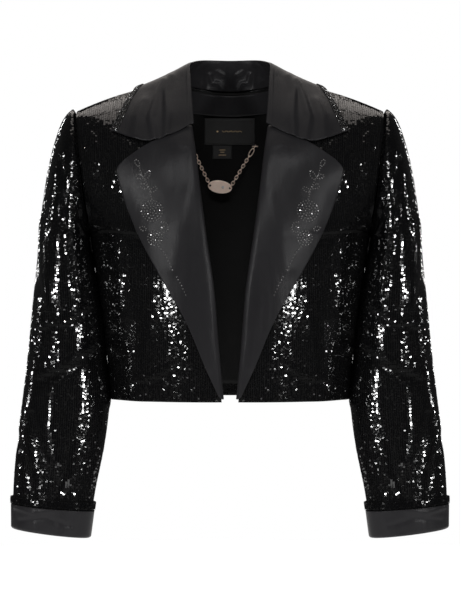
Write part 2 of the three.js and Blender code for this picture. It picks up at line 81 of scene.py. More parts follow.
class Wire:
    """One socket of a material's nodes. Sums and products of wires add Math nodes."""

    def __init__(self, tree, socket=None):
        self.tree = tree
        self.socket = socket

    def node(self, kind, settings, values, output=0):
        made = self.tree.nodes.new(kind)
        for name, value in settings.items():
            if name == "stops":
                for stop, (position, colour) in zip(made.color_ramp.elements, value):
                    stop.position = position
                    stop.color = colour
            else:
                setattr(made, name, value)
        for name, value in values.items():
            if isinstance(value, Wire):
                self.tree.links.new(value.socket, made.inputs[name])
            else:
                made.inputs[name].default_value = value
        return Wire(self.tree, made.outputs[output])

    def on_object(self):
        return self.node("ShaderNodeTexCoord", {}, {}, "Object")

    def mix(self, factor, first, second):
        """A colour between two, by the factor."""
        values = {"Factor": factor, "A": first, "B": second}
        return self.node("ShaderNodeMix", {"data_type": "RGBA"}, values, 2)

    def bump(self, height, strength, distance, **before):
        values = {"Height": height, "Strength": strength, "Distance": distance, **before}
        return self.node("ShaderNodeBump", {}, values)

    def maths(self, operation, first, second):
        return self.node("ShaderNodeMath", {"operation": operation}, {0: first, 1: second})

    def feed(self, shader, socket):
        self.tree.links.new(self.socket, shader.inputs[socket])

    def __add__(self, other):
        return self.maths("ADD", self, other)

    __radd__ = __add__

    def __sub__(self, other):
        return self.maths("SUBTRACT", self, other)

    def __rsub__(self, other):
        return self.maths("SUBTRACT", other, self)

    def __mul__(self, other):
        return self.maths("MULTIPLY", self, other)

    __rmul__ = __mul__


def finish_of(name, constants):
    """A new material with its shader's constant sockets set, as its wire and its shader."""
    material = bpy.data.materials.new(name)
    material.use_nodes = True
    shader = material.node_tree.nodes["Principled BSDF"]
    for socket, value in constants.items():
        shader.inputs[socket].default_value = value
    return material, Wire(material.node_tree), shader


def grey(value):
    return (value, value, value, 1.0)


def floor_disc():
    radius = 0.9
    floor_height = -0.72
    bm = bmesh.new()
    rim = bmesh.ops.create_circle(bm, segments=96, radius=radius, cap_ends=True)["verts"]
    bmesh.ops.translate(bm, verts=rim, vec=(0, 0, floor_height))
    mesh = bpy.data.meshes.new("floor")
    bm.to_mesh(mesh)
    bm.free()
    paper, _, shader = finish_of("paper", {"Base Color": grey(0.85), "Roughness": 0.95})
    shader.inputs["Emission Color"].default_value = grey(1.0)
    shader.inputs["Emission Strength"].default_value = 0.72
    mesh.materials.append(paper)
    placed("floor", mesh)


floor_disc()
# The room is seen as white paper, and lights the garment only dimly.
ROOM_SEEN = 1.0
ROOM_LIGHT = 0.035
world = bpy.data.worlds.new("room")
world.use_nodes = True
bpy.context.scene.world = world
room = Wire(world.node_tree)
seen = room.node("ShaderNodeLightPath", {}, {})
backdrop = world.node_tree.nodes["Background"]
backdrop.inputs["Color"].default_value = grey(1.0)
(seen * (ROOM_SEEN - ROOM_LIGHT) + ROOM_LIGHT).feed(backdrop, "Strength")
bpy.context.scene.view_settings.view_transform = "Standard"


GARMENT_MIDDLE = -0.25
WARM = (1.0, 0.93, 0.88)


def soft_light(name, angle, distance, height, size, power, colour=(1, 1, 1)):
    """A rectangular light at the given bearing from the camera's side, aimed at the garment."""
    data = bpy.data.lights.new(name, "AREA")
    data.shape = "RECTANGLE"
    data.size = size[0]
    data.size_y = size[1]
    data.energy = power
    data.color = colour
    light = placed(name, data)
    bearing = math.radians(angle)
    light.location = (distance * math.sin(bearing), -distance * math.cos(bearing), height)
    light.visible_camera = False
    aim = Vector((0, 0, GARMENT_MIDDLE)) - light.location
    light.rotation_euler = aim.to_track_quat("-Z", "Y").to_euler()


STRIPS = [
    # name, bearing, distance, height, width and tallness, power
    ("near_strip", 36, 2.2, -0.04, (0.08, 0.6), 13),
    ("side_strip", 98, 1.9, 0.12, (0.05, 0.75), 4),
    ("rim_strip", 152, 2.2, 0.1, (0.06, 1.3), 2),
]
for strip, bearing, distance, height, size, power in STRIPS:
    for side in (-1, 1):
        soft_light(f"{strip}_{side}", side * bearing, distance, height, size, power)
soft_light("overhead", 180, 0.1, 1.7, (1.7, 1.7), 8.5, colour=WARM)
soft_light("high_back", 180, 1.7, 1.35, (2.0, 1.4), 10, colour=WARM)
soft_light("key", 0, 2.3, 1.1, (0.7, 0.4), 16)

# ---------------------------------------------------------------- fronts
# Two fronts of net covered with black sequins, from the free edge under the lapel to the side
# seam and armhole. Each is one sheet shaped over the chest, lined, with strung sequins sewn on.
CLOTH = 1.6
SEAM_GAP = 0.4
HEM_HEIGHT = -422.0
LAST_ROW = 7
ARMPIT_ROW = 3
SIDE_HALF_WIDTHS = [159.5, 165, 175, 187]
ARMPIT_HEIGHT = -195.0
ARMHOLE = {"centre": [-197, 0, -114], "out": [-10, 0, 81], "half_depth": 63}
SHOULDER_SEAM = [[-72, 0, 8], [-116, 0, 1], [-165, 0, -12], [-207, 0, -33]]
FRONT_EDGE = [
    [-11, -104, HEM_HEIGHT], [-18, -112, -350], [-24, -116, -275], [-34, -114, -205],
    [-42, -106, -145], [-49, -90, -88], [-57, -55, -42], [-72, 0, 8],
]
FRONT_EDGE_REACH = [
    [-62, -10, 0], [-62, -12, 0], [-62, -13, 0], [-60, -12, -1],
    [-52, -8, -4], [-50, -8, -6], [-48, -12, -6], [-44, 0, -7],
]
FRONT_SIDE_REACH = [
    [0, -66, 0], [0, -72, 0], [2, -78, 0], [3, -72, 4],
    [24, -42, 6], [38, -28, 4], [45, -18, 10], [42, 0, 21],
]
# Soft folds: a line of x and z, its half width, its depth (minus sinks), and -1 for the front
# half of a tube, 1 for its back half or 0 for either. The first two swell the side seam out to
# meet the sleeve.
SIDE_SWELL = [
    ([(-187, -190), (-183, -215), (-178, -250), (-173, -285), (-166, -345)], 10, 3.1, 0),
    ([(-165, -352), (-160, -430)], 9, 2.2, 0),
]
FRONT_FOLDS = [
    ([(-168, -200), (-160, -262), (-158, -330)], 9, -1.6, 0),
    ([(-182, -178), (-150, -196), (-122, -204)], 8, -1.4, 0),
    ([(-108, -292), (-116, -352), (-118, -420)], 13, 1.5, 0),
    ([(-136, -318), (-142, -372), (-150, -424)], 11, -1.5, 0),
    ([(-176, -66), (-168, -104), (-172, -146)], 9, -1.3, 0),
    ([(-70, -372), (-96, -392), (-130, -398)], 7, -0.9, 0),
    *SIDE_SWELL,
]


def through(points, place):
    """A smooth curve through the points, its place counted in points from the first."""
    points = np.asarray(points, float)
    place = np.asarray(place, float)
    if points.ndim == 2:
        points = np.broadcast_to(points, place.shape + points.shape)
    before = 2 * points[..., :1, :] - points[..., 1:2, :]
    after = 2 * points[..., -1:, :] - points[..., -2:-1, :]
    row = np.concatenate([before, points, after], axis=-2)
    first = np.clip(np.floor(place).astype(int), 0, points.shape[-2] - 2)
    t = (place - first)[..., None]
    p0, p1, p2, p3 = (
        np.take_along_axis(row, (first + i)[..., None, None], axis=-2)[..., 0, :] for i in range(4)
    )
    leave = (p2 - p0) / 2
    arrive = (p3 - p1) / 2
    rising = p1 * (2 * t**3 - 3 * t**2 + 1) + leave * (t**3 - 2 * t**2 + t)
    return rising + p2 * (3 * t**2 - 2 * t**3) + arrive * (t**3 - t**2)


def bezier(p0, p1, p2, p3, share):
    t = np.asarray(share, float)[..., None]
    return p0 * (1 - t) ** 3 + 3 * p1 * t * (1 - t) ** 2 + 3 * p2 * t**2 * (1 - t) + p3 * t**3


def ellipse(centre, out, half_depth, angle):
    ring = centre + out * np.cos(angle)[..., None]
    ring[..., 1] -= half_depth * np.sin(angle)
    return ring


def side_or_armhole(place, facing):
    """The outer end of a panel's row: on the side seam, or on the armhole above the armpit."""
    heights = np.linspace(HEM_HEIGHT, ARMPIT_HEIGHT, ARMPIT_ROW + 1)
    seam = [[-width, 0, height] for width, height in zip(SIDE_HALF_WIDTHS, heights)]
    angle = np.pi * (LAST_ROW - place) / (LAST_ROW - ARMPIT_ROW)
    centre, out = (np.array(ARMHOLE[key], float) for key in ("centre", "out"))
    hole = ellipse(centre, out, ARMHOLE["half_depth"], -facing * angle)
    point = np.where((place <= ARMPIT_ROW)[..., None], through(seam, place), hole)
    point[..., 1] += facing * SEAM_GAP / 2
    return point


def panel_row(share, place, inner, inner_reach, outer_reach, facing):
    start = through(inner, place)
    end = side_or_armhole(place, facing)
    return bezier(
        start, start + through(inner_reach, place), end + through(outer_reach, place), end, share
    )


def front(share, place):
    """Inner face of the wearer's right front. Share is 0 at the free edge, 1 at the side."""
    point = panel_row(share, place, FRONT_EDGE, FRONT_EDGE_REACH, FRONT_SIDE_REACH, -1)
    point[..., 1] -= SEAM_GAP / 2 * np.maximum(0, place - LAST_ROW + 1) * (1 - share)
    return point


def outward(surface, a, b, side=-1):
    step = 1e-3
    across = surface(a + step, b) - surface(a - step, b)
    along = surface(a, b + step) - surface(a, b - step)
    normal = side * np.cross(across, along)
    return normal / np.linalg.norm(normal, axis=-1, keepdims=True)


def fold_relief(points, folds, middle=0.0):
    """How far the soft folds lift or sink the cloth at the points."""
    spots = points[..., [0, 2]]
    total = np.zeros(points.shape[:-1])
    for line, half_width, depth, facing in folds:
        nearest = np.full(total.shape, 1e9)
        for start, end in zip(np.array(line[:-1], float), np.array(line[1:], float)):
            run = end - start
            share = np.clip(((spots - start) @ run) / (run @ run), 0, 1)
            gap = np.linalg.norm(spots - start - share[..., None] * run, axis=-1)
            nearest = np.minimum(nearest, gap)
        bump = depth * np.exp(-((nearest / half_width) ** 2))
        if facing:
            bump = bump * np.clip(facing * (points[..., 1] - middle) / 15 + 0.3, 0, 1)
        total += bump
    return total


def worn(surface, folds, lift, side=-1, middle=0.0):
    """A surface with its folds, moved out from the given one by lift."""

    def shaped(a, b):
        a, b = np.broadcast_arrays(np.asarray(a, float), np.asarray(b, float))
        base = surface(a, b)
        away = lift + fold_relief(base, folds, middle)
        return base + outward(surface, a, b, side) * away[..., None]

    return shaped


def sewn(name, surface, columns, rows, side, mirror, materials, wall, wrapped=False, span=(0, 1, 0, 1)):
    """A sheet of cloth from a grid moved onto a surface, with its wall as a modifier."""
    bm = bmesh.new()
    bmesh.ops.create_grid(bm, x_segments=columns, y_segments=rows, size=0.5)
    spots = np.array([vert.co[:] for vert in bm.verts]) + 0.5
    a = span[0] + (span[1] - span[0]) * spots[:, 0]
    b = span[2] + (span[3] - span[2]) * spots[:, 1]
    points = surface(a, b) * 0.001
    if mirror:
        points[:, 0] *= -1
    for vert, point in zip(bm.verts, points):
        vert.co = point
    if wrapped:
        bmesh.ops.remove_doubles(bm, verts=bm.verts, dist=1e-5)
    if (side < 0) != mirror:
        bmesh.ops.reverse_faces(bm, faces=bm.faces)
    mesh = bpy.data.meshes.new(name)
    bm.to_mesh(mesh)
    bm.free()
    for face in mesh.polygons:
        face.use_smooth = True
    for material in materials:
        mesh.materials.append(material)
    piece = placed(name, mesh)
    solidify = piece.modifiers.new("wall", "SOLIDIFY")
    solidify.thickness = wall * 0.001
    solidify.offset = 0.0
    solidify.material_offset = len(materials) - 1
    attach(piece, "jacket")
    return piece


def joined(name, shape, centres, frames, mirror, materials, kinds=None):
    """Many like small pieces as one mesh. A frame's rows are a piece's own three axes."""
    spots = np.array([vert.co[:] for vert in shape.verts])
    faces = [[vert.index for vert in face.verts] for face in shape.faces]
    points = centres[:, None, :] + np.einsum("tk,nkj->ntj", spots, frames)
    points = points * 0.001
    if mirror:
        points[..., 0] *= -1
        faces = [face[::-1] for face in faces]
    count = len(spots)
    every = [[corner + count * i for corner in face] for i in range(len(centres)) for face in faces]
    mesh = bpy.data.meshes.new(name)
    mesh.from_pydata(points.reshape(-1, 3).tolist(), [], every)
    for material in materials:
        mesh.materials.append(material)
    if kinds is not None:
        mesh.polygons.foreach_set("material_index", np.repeat(kinds, len(faces)).astype(np.int32))
    mesh.update()
    piece = placed(name, mesh)
    return piece


SEQUIN_RADIUS = 1.55
SEQUIN_DROP = 2.15
SEQUIN_PITCH = 2.95
SHINGLE = 0.11
WOBBLE = 0.042
STRING_TWIST = 0.05
TWIST_LENGTH = 14
ASKEW_SHARE = 0.07
ASKEW_LEAN = 3.5
SMOKE_SHARE = 0.12
CALM = 0.35
RUFFLED = 1.0

sequin_shape = bmesh.new()
bmesh.ops.create_circle(sequin_shape, segments=6, radius=1, cap_ends=True)
sequin_shape.verts.index_update()
sequin_black, _, _ = finish_of(
    "sequin_black",
    {"Base Color": (0.0015, 0.0015, 0.0018, 1), "Roughness": 0.1, "Specular IOR Level": 0.4,
     "Coat Weight": 0.7, "Coat Roughness": 0.03, "Coat IOR": 1.5},
)
sequin_smoke, _, _ = finish_of(
    "sequin_smoke",
    {"Base Color": (0.004, 0.0038, 0.0038, 1), "Roughness": 0.18, "Specular IOR Level": 0.45,
     "Coat Weight": 0.3, "Coat Roughness": 0.08, "Coat IOR": 1.5},
)


def run_along(line):
    """How far each point of a line lies from its start."""
    return np.concatenate([[0], np.cumsum(np.linalg.norm(np.diff(line, axis=0), axis=1))])


def strung(name, surface, spans, middle, plumb, down, mirror, seed, side=-1, lift=0.5):
    """Sequins strung in columns down a surface, a little overlapped, each slightly askew.

    The columns are counted from the middle one of the surface's samples, or when plumb from x = 0.
    """
    chance = np.random.default_rng(seed)
    a = np.linspace(spans[0], spans[1], 161)
    b = np.linspace(spans[2], spans[3], 121)
    grid_a, grid_b = np.meshgrid(a, b)
    points = surface(grid_a, grid_b)
    grain = np.zeros(grid_a.shape)
    grain[:, 1:] = np.cumsum(np.linalg.norm(np.diff(points, axis=1), axis=2), axis=1)
    grain -= grain[:, middle:middle + 1].copy()
    if plumb:
        grain += np.abs(points[:, middle, 0])[:, None]
    places = []
    first = math.ceil(grain.min() / SEQUIN_PITCH) * SEQUIN_PITCH
    for column in np.arange(first, grain.max(), SEQUIN_PITCH):
        rows = np.nonzero((grain[:, 0] <= column) & (column <= grain[:, -1]))[0]
        if len(rows) < 2:
            continue
        shares = np.array([np.interp(column, grain[row], a) for row in rows])
        line = surface(shares, b[rows])
        run = run_along(line)
        stops = np.arange(SEQUIN_DROP * chance.uniform(0.2, 1.0), run[-1], SEQUIN_DROP)
        knots = np.arange(0, run[-1] + 2 * TWIST_LENGTH, TWIST_LENGTH)
        twist = np.interp(stops, knots, chance.normal(0, STRING_TWIST, len(knots)))
        at_stops = [np.interp(stops, run, shares), np.interp(stops, run, b[rows]), twist]
        places.append(np.column_stack(at_stops))
    places = np.concatenate(places)
    share, place, twist = places.T
    centre = surface(share, place)
    normal = outward(surface, share, place, side)
    step = 1e-3
    up = (surface(share, place + step) - surface(share, place - step)) * -down
    up -= normal * (up * normal).sum(axis=1, keepdims=True)
    up /= np.linalg.norm(up, axis=1, keepdims=True)
    across = np.cross(up, normal)
    lean = chance.normal(0, WOBBLE, (len(places), 2, 1))
    askew = chance.random((len(places), 1)) < ASKEW_SHARE
    lean = np.where(askew[:, None], lean * ASKEW_LEAN, lean)
    lean[:, 0, 0] += twist
    # The sequins lie flat in some patches and ruffled in others, as they settle in wear.
    patches = 0.5 + 0.5 * np.sin(centre[:, 0] / 21 + 1.1) * np.sin(centre[:, 2] / 29 + centre[:, 0] / 47)
    lean *= (CALM + RUFFLED * patches)[:, None, None]
    frames = np.stack(
        [across + normal * lean[:, 0], up + normal * (lean[:, 1] - SHINGLE), normal], axis=1
    ) * SEQUIN_RADIUS
    kinds = (chance.random(len(places)) < SMOKE_SHARE).astype(int)
    piece = joined(
        name, sequin_shape, centre + normal * lift, frames, mirror, [sequin_black, sequin_smoke], kinds
    )
    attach(piece, "jacket")
    return piece


net_cloth, wire, shader = finish_of("sequin_net", {"Roughness": 0.7, "Specular IOR Level": 0.08})
place_on_cloth = wire.on_object()
mesh_holes = wire.node("ShaderNodeTexVoronoi", {}, {"Vector": place_on_cloth, "Scale": 900.0})
uneven = wire.node("ShaderNodeTexNoise", {}, {"Vector": place_on_cloth, "Scale": 60.0})
net_colour = wire.mix(uneven, grey(0.003), grey(0.009))
net_bump = wire.bump(mesh_holes, 0.5, 0.0003)
net_colour.feed(shader, "Base Color")
net_bump.feed(shader, "Normal")

lining_cloth, wire, shader = finish_of("lining_cloth", {"Specular IOR Level": 0.14, "Sheen Weight": 0.03})
place_on_cloth = wire.on_object()
slubs = wire.node(
    "ShaderNodeTexNoise", {}, {"Vector": place_on_cloth, "Scale": 35.0, "Detail": 6.0}
)
twill = wire.node(
    "ShaderNodeTexWave", {"bands_direction": "DIAGONAL"}, {"Vector": place_on_cloth, "Scale": 420.0}
)
lining_colour = wire.mix(slubs, grey(0.0012), grey(0.003))
lining_bump = wire.bump(twill + slubs * 2.0, 0.35, 0.0003)
lining_colour.feed(shader, "Base Color")
(slubs * 0.2 + 0.45).feed(shader, "Roughness")
lining_bump.feed(shader, "Normal")

NET_WALL = 0.9
NET_MIDDLE = 0.75
SIDES = (("right", False), ("left", True))
front_net = worn(front, FRONT_FOLDS, NET_MIDDLE)
for hand, mirror in SIDES:
    cloth_piece = sewn(
        f"front_cloth_{hand}", front_net, 64, 90, -1, mirror, [net_cloth, lining_cloth], NET_WALL,
        span=(0, 1, 0, LAST_ROW),
    )
    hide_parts(f"front_{hand}")
    scales = strung(
        f"front_sequins_{hand}", front_net, (0.03, 0.996, 0.02, 6.985), 0, True, -1, mirror, seed=11
    )

# ---------------------------------------------------------------- back
# One back of the same sequin net, with the neckline cut out of its top and the yoke rising to
# the shoulder seams. It hangs straight from the shoulder blades, with soft folds near the sides.
BACK_CENTRE = [
    [0, 97, HEM_HEIGHT], [0, 97, -350], [0, 100, -272], [0, 103, -195],
    [0, 99.5, -138], [0, 91.5, -88], [0, 81, -42], [0, 69, 0],
]
BACK_CENTRE_REACH = [
    [-60, 0, 0], [-60, 0, 0], [-62, 0, 0], [-62, 0, 0],
    [-58, 0, 0], [-55, 0, 0], [-50, 0, 0], [-45, -2, 0],
]
BACK_SIDE_REACH = [
    [0, 62, 0], [0, 66, 0], [2, 72, 0], [3, 70, 0],
    [22, 42, 5], [36, 26, 4], [45, 22, 10], [50, 22, 12],
]
BACK_NECKLINE = [[0, 69, 0], [-40, 70, 1], [-72, 42, 7], [-72, 0, 8]]
NECK_SHARE = 0.36
YOKE_SHARPNESS = 6
BACK_FOLDS = [
    ([(-150, -190), (-128, -300), (-122, -420)], 12, -2.0, 0),
    ([(-168, -176), (-120, -176), (-84, -168)], 9, -1.4, 0),
    ([(-92, -250), (-84, -330), (-84, -420)], 15, 2.0, 0),
    ([(-58, -60), (-50, -140)], 16, 1.3, 0),
    ([(-38, -290), (-42, -420)], 13, -1.6, 0),
    ([(24, -270), (30, -420)], 15, 1.6, 0),
    ([(62, -60), (54, -130)], 15, 1.2, 0),
    ([(88, -300), (96, -420)], 14, -1.8, 0),
    ([(150, -186), (132, -290), (130, -420)], 12, -2.0, 0),
    ([(170, -180), (126, -186), (90, -172)], 9, -1.4, 0),
    *SIDE_SWELL,
    *(([(-x, z) for x, z in line], *rest) for line, *rest in SIDE_SWELL),
]


def back_top(share):
    neckline = bezier(*(np.array(point, float) for point in BACK_NECKLINE), share / NECK_SHARE)
    along_seam = (share - NECK_SHARE) / (1 - NECK_SHARE)
    shoulder = bezier(*(np.array(point, float) for point in SHOULDER_SEAM), along_seam)
    return np.where((share < NECK_SHARE)[..., None], neckline, shoulder)


def back(share, place):
    """Inner face of the back. Share runs from -1 at the wearer's right side to 1 at the left."""
    half = np.abs(share)
    last = np.full(half.shape, float(LAST_ROW))
    point = panel_row(half, place, BACK_CENTRE, BACK_CENTRE_REACH, BACK_SIDE_REACH, 1)
    top = back_top(half)
    top[..., 1] += SEAM_GAP / 2
    rise = np.abs(place / LAST_ROW) ** YOKE_SHARPNESS
    gap = top - panel_row(half, last, BACK_CENTRE, BACK_CENTRE_REACH, BACK_SIDE_REACH, 1)
    point = point + gap * rise[..., None]
    point[..., 0] = np.where(share > 0, -point[..., 0], point[..., 0])
    return point


back_net = worn(back, BACK_FOLDS, NET_MIDDLE)
back_cloth = sewn(
    "back_cloth", back_net, 120, 84, -1, False, [net_cloth, lining_cloth], NET_WALL,
    span=(-1, 1, 0, LAST_ROW),
)
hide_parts("back")
back_scales = strung(
    "back_sequins", back_net, (-0.997, 0.997, 0.02, 6.985), 80, False, -1, False, seed=12
)
# A strip of the same sequins faces the inside of the back hem, below the lining.
hem_strip = strung(
    "back_hem_strip", back_net, (-0.96, 0.96, 0.012, 0.225), 80, False, -1, False, side=1, seed=13
)

# ---------------------------------------------------------------- sleeves
# Full-length sleeves of sequin net, set into the armholes with a slightly raised head, bent
# a little forward at the elbow and narrowing to the wrist. Creases lie at the bend and cuff.
SLEEVE_RINGS = [
    # centre, half axis on the outer side, half depth
    ([-199.6, 0, -114], [-8.8, 0, 79.6], 61.8), ([-204.8, 0, -116], [-10.2, 0, 86.5], 67),
    ([-212, 0, -130], [-18, 0, 80], 69), ([-219.5, 0, -158], [-26, 0, 56], 68),
    ([-223.5, 0, -197], [-32, 0, 32], 65), ([-224, 0, -242], [-38, 0, 13], 61),
    ([-222, 1, -300], [-46.8, 0, 4], 55), ([-222, -2, -360], [-52.5, 0, 1], 49),
    ([-222.2, -8, -420], [-59, 0, 0], 43), ([-228.6, -14, -480], [-59.6, 0, 1], 38),
    ([-237.5, -18, -545], [-55.3, 0, 3.4], 34), ([-241.4, -20, -598.6], [-51.4, 0, 6.5], 31),
]
SLEEVE_FOLDS = [
    ([(-226, -100), (-221, -145), (-218, -190)], 6, -2.4, -1),
    ([(-205, -150), (-214, -210), (-206, -262)], 8, -2.0, -1),
    ([(-256, -182), (-249, -236), (-242, -292)], 8, 2.0, -1),
    ([(-270, -214), (-262, -262), (-240, -318)], 7, -1.8, -1),
    ([(-190, -300), (-222, -322), (-262, -326)], 7, -1.5, -1),
    ([(-182, -352), (-214, -376), (-256, -392)], 8, -1.6, -1),
    ([(-236, -398), (-240, -452), (-232, -500)], 10, 1.8, -1),
    ([(-290, -470), (-270, -512), (-264, -556)], 6, -2.0, -1),
    ([(-268, -440), (-250, -500), (-222, -540)], 8, -1.6, -1),
    ([(-206, -480), (-214, -520), (-236, -560)], 7, 1.4, -1),
    ([(-228, -104), (-232, -164), (-226, -220)], 8, -2.2, 1),
    ([(-250, -190), (-246, -262), (-240, -330)], 9, 1.8, 1),
    ([(-192, -250), (-222, -290), (-258, -306)], 8, -1.8, 1),
    ([(-186, -330), (-220, -362), (-262, -372)], 8, -1.8, 1),
    ([(-216, -400), (-228, -460), (-250, -520)], 9, 1.6, 1),
    ([(-262, -430), (-252, -490), (-230, -545)], 7, -1.8, 1),
    ([(-194, -205), (-192, -226)], 10, 5.0, 0),
    ([(-190, -240), (-184, -262)], 11, 5.4, 0),
    ([(-180, -282), (-172, -345)], 10, 3.0, 0),
    ([(-169, -352), (-163, -425)], 9, 2.0, 0),
]
SLEEVE_MIDDLE_Y = -6
TRIM_TOP = 0.927


def sleeve(turn, along):
    """Outer face of the wearer's right sleeve: turn round it from the outer line, along it down."""
    place = along * (len(SLEEVE_RINGS) - 1)
    centre = through([ring[0] for ring in SLEEVE_RINGS], place)
    out = through([ring[1] for ring in SLEEVE_RINGS], place)
    half_depth = through([[ring[2], 0, 0] for ring in SLEEVE_RINGS], place)[..., 0]
    return ellipse(centre, out, half_depth, 2 * np.pi * turn)


sleeve_net = worn(sleeve, SLEEVE_FOLDS, NET_MIDDLE - CLOTH, middle=SLEEVE_MIDDLE_Y)
for hand, mirror in SIDES:
    tube = sewn(
        f"sleeve_cloth_{hand}", sleeve_net, 96, 120, -1, mirror, [net_cloth, lining_cloth],
        NET_WALL, wrapped=True, span=(-0.5, 0.5, 0, 1),
    )
    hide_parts(f"sleeve_{hand}")
    scales = strung(
        f"sleeve_sequins_{hand}", sleeve_net, (-0.5, 0.5, 0.003, TRIM_TOP), 80, False, 1, mirror,
        seed=14,
    )

# ---------------------------------------------------------------- cuff trims and cuffs
# A narrow band of sequins runs round each sleeve over the cuff. The cuff is satin, turned up
# round the sleeve's edge and pressed, with slight ripples where it is felled down.
TRIM_BOTTOM = 0.9425
TRIM_FACES = [0.6, 3.0]
CUFF_TOP = 0.9455
CUFF_TURN = 2.8
CUFF_TURN_UP = 0.977
CUFF_MIDDLE = -CLOTH / 2
OUTSIDE_SHARE = 0.6
TURN_SHARE = 0.2
CUFF_MIDDLE_Y = -18
CUFF_FOLDS = [
    ([(-286, -566), (-262, -572), (-236, -569)], 3.2, 0.9, -1),
    ([(-280, -584), (-246, -579), (-214, -590)], 3.6, -0.8, -1),
    ([(-262, -560), (-258, -600)], 4.0, 0.8, -1),
    ([(-226, -562), (-230, -602)], 4.5, -0.7, -1),
    ([(-204, -568), (-212, -596)], 3.5, 0.7, -1),
    ([(-274, -566), (-250, -592)], 5.0, 0.9, 1),
    ([(-230, -562), (-224, -602)], 4.5, -0.8, 1),
]

satin, wire, shader = finish_of(
    "satin", {"Specular IOR Level": 0.12, "Sheen Weight": 0.02, "Anisotropic": 0.3}
)
place_on_cloth = wire.on_object()
stretched = wire.node(
    "ShaderNodeMapping", {}, {"Vector": place_on_cloth, "Scale": (1.0, 1.0, 0.35)}
)
tone = wire.node("ShaderNodeTexNoise", {}, {"Vector": stretched, "Scale": 28.0, "Detail": 4.0})
weave = wire.node(
    "ShaderNodeTexWave", {"bands_direction": "DIAGONAL"}, {"Vector": place_on_cloth, "Scale": 520.0}
)
ripples = wire.node("ShaderNodeTexNoise", {}, {"Vector": stretched, "Scale": 55.0, "Detail": 3.0})
satin_colour = wire.mix(tone, (0.0135, 0.0131, 0.0143, 1), (0.0195, 0.019, 0.0205, 1))
wrinkle_bump = wire.bump(ripples, 0.25, 0.003)
satin_bump = wire.bump(weave, 0.18, 0.0002, Normal=wrinkle_bump)
satin_colour.feed(shader, "Base Color")
(tone * 0.14 + 0.24).feed(shader, "Roughness")
satin_bump.feed(shader, "Normal")


def cuff(turn, run):
    """Middle of the cuff's cloth: down its outside, round the edge, and up inside the sleeve."""
    turning = np.clip((run - OUTSIDE_SHARE) / TURN_SHARE, 0, 1) * np.pi
    outside = CUFF_TOP + (1 - CUFF_TOP) * np.clip(run / OUTSIDE_SHARE, 0, 1)
    inside = np.clip((run - OUTSIDE_SHARE - TURN_SHARE) / TURN_SHARE, 0, 1)
    along = outside - (1 - CUFF_TURN_UP) * inside
    base = sleeve(turn, along)
    down = base - sleeve(turn, along - 0.01)
    down /= np.linalg.norm(down, axis=-1, keepdims=True)
    away = CUFF_MIDDLE + CUFF_TURN * np.cos(turning)
    ripple = fold_relief(base, CUFF_FOLDS, CUFF_MIDDLE_Y) * (run < OUTSIDE_SHARE)
    beyond = CUFF_TURN * np.sin(turning)
    return base + outward(sleeve, turn, along) * (away + ripple)[..., None] + down * beyond[..., None]


trim_band = worn(sleeve, [], sum(TRIM_FACES) / 2)
trim_face = worn(sleeve, [], TRIM_FACES[1])
for hand, mirror in SIDES:
    band = sewn(
        f"cuff_band_{hand}", trim_band, 72, 4, -1, mirror, [net_cloth], TRIM_FACES[1] - TRIM_FACES[0],
        wrapped=True, span=(-0.5, 0.5, TRIM_TOP, TRIM_BOTTOM),
    )
    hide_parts(f"cuff_trim_{hand}")
    scales = strung(
        f"cuff_band_sequins_{hand}", trim_face, (-0.5, 0.5, TRIM_TOP, TRIM_BOTTOM), 80, False, 1,
        mirror, seed=15,
    )
    turn_up = sewn(
        f"cuff_satin_{hand}", cuff, 110, 44, -1, mirror, [satin], CLOTH, wrapped=True,
        span=(-0.5, 0.5, 0, 1),
    )
    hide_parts(f"cuff_{hand}")

# ---------------------------------------------------------------- lapels
# Wide peaked satin lapels, cut in one with the facing: each comes out from behind the front's
# free edge, rolls over it and lies on the front, and carries a spray of dark stones.
LAPEL_PLACES = [0.06, 0.7, 1.45, 2.2, 2.9, 3.86, 4.7, 5.62]
LAPEL_OUTER = [
    [-15.5, -414], [-33, -374], [-57, -316], [-87, -262],
    [-115, -210], [-136, -160], [-147.5, -119], [-138, -103.5],
]
NOTCH_BEND = 8
LAPEL_STAND_OFF = 3.4
LAPEL_LIFT = 1.6
LAPEL_LIFT_REACH = 16
LAPEL_TURN_UNDER = 7
LAPEL_ROLL = LAPEL_STAND_OFF - CLOTH / 2
FACE_START = 0.26
DEEPEST_FOLD = -0.5
LAPEL_FOLDS = [
    ([(-54, -88), (-68, -85)], 3, 0.5, 0),
    ([(-62, -122), (-92, -150), (-112, -176)], 14, -0.5, 0),
    ([(-52, -150), (-66, -200), (-74, -246)], 10, 1.0, 0),
    ([(-44, -236), (-50, -290), (-46, -340)], 8, -0.8, 0),
    ([(-126, -128), (-118, -170), (-100, -212)], 9, 0.4, 0),
    ([(-28, -332), (-26, -376)], 6, 0.7, 0),
]


def located(surface, x, z, a, b):
    """The place on a panel whose x and z are given."""
    a = np.full(np.shape(x), float(a)) if np.ndim(a) == 0 else a
    b = np.full(np.shape(x), float(b))
    step = 1e-3
    for _ in range(12):
        here = surface(a, b)
        da = (surface(a + step, b) - here) / step
        db = (surface(a, b + step) - here) / step
        det = da[..., 0] * db[..., 2] - db[..., 0] * da[..., 2]
        dx = x - here[..., 0]
        dz = z - here[..., 2]
        a = a + (dx * db[..., 2] - db[..., 0] * dz) / det
        b = b + (da[..., 0] * dz - dx * da[..., 2]) / det
    return a, b


def on_front(x, z):
    share, place = located(front, x, z, 0.4, 4)
    return front(share, place), outward(front, share, place)


